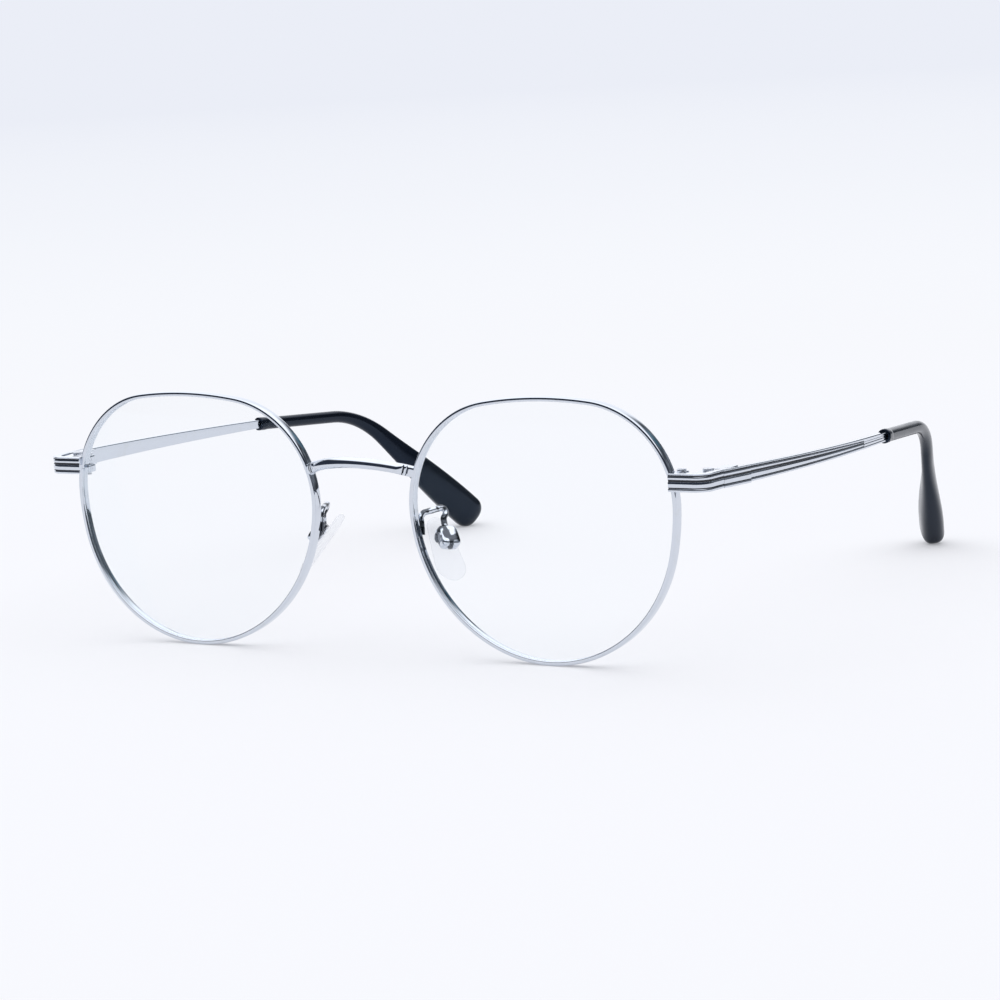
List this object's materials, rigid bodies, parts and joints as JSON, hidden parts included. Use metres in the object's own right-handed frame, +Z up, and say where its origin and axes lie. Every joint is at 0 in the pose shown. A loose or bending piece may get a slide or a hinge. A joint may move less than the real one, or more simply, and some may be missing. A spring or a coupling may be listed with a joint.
{
  "type": "eyeglasses",
  "caption": "Round thin-rimmed metal eyeglasses with clear lenses, adjustable nose pads, engraved bowed temples on hinges and drop-shaped black ear tips.",
  "frame": {"origin": "middle of the footprint of the open eyeglasses, on the table", "axes": "+X towards the wearer's left, +Y back along the temples, +Z up"},
  "size_m": [0.1386, 0.1283, 0.0452],
  "materials": {
    "bright_metal": "polished bright silver plating",
    "screw": "turned steel",
    "lens": "clear and polished on both faces",
    "pad": "clear soft cushion, satin",
    "tip": "glossy black"
  },
  "bodies": {
    "frame": {"bridge": "bright_metal", "rim_left": "bright_metal", "lens_left": "lens", "endpiece_left": "bright_metal", "closing_block_upper_left": "bright_metal", "closing_block_lower_left": "bright_metal", "closing_screw_left": "screw", "hinge_front_left": "bright_metal", "hinge_screw_left": "screw", "pad_box_left": "bright_metal", "pad_screw_left": "screw", "pad_arm_left": "bright_metal", "rim_right": "bright_metal", "lens_right": "lens", "endpiece_right": "bright_metal", "closing_block_upper_right": "bright_metal", "closing_block_lower_right": "bright_metal", "closing_screw_right": "screw", "hinge_front_right": "bright_metal", "hinge_screw_right": "screw", "pad_box_right": "bright_metal", "pad_screw_right": "screw", "pad_arm_right": "bright_metal"},
    "temple_arm_left": {"temple_left": "bright_metal", "temple_plate_left": "bright_metal", "temple_tip_left": "tip", "hinge_rear_left": "bright_metal"},
    "pad_cushion_left": {"nose_pad_left": "pad"},
    "temple_arm_right": {"temple_right": "bright_metal", "temple_plate_right": "bright_metal", "temple_tip_right": "tip", "hinge_rear_right": "bright_metal"},
    "pad_cushion_right": {"nose_pad_right": "pad"}
  },
  "joints": [
    {"name": "temple_fold_left", "type": "hinge", "parent": "frame", "child": "temple_arm_left", "pos_m": [0.064, -0.05545, 0.0315], "axis": [0, 0, 1], "range_deg": [0, 84]},
    {"name": "temple_fold_right", "type": "hinge", "parent": "frame", "child": "temple_arm_right", "pos_m": [-0.064, -0.05545, 0.0315], "axis": [0, 0, -1], "range_deg": [0, 78]},
    {"name": "pad_rock_left", "type": "hinge", "parent": "frame", "child": "pad_cushion_left", "pos_m": [0.01321, -0.05468, 0.0199], "axis": [-0.434, -0.886, 0.1631], "range_deg": [-6, 6]},
    {"name": "pad_rock_right", "type": "hinge", "parent": "frame", "child": "pad_cushion_right", "pos_m": [-0.01321, -0.05468, 0.0199], "axis": [0.434, -0.886, 0.1631], "range_deg": [-6, 6]}
  ]
}
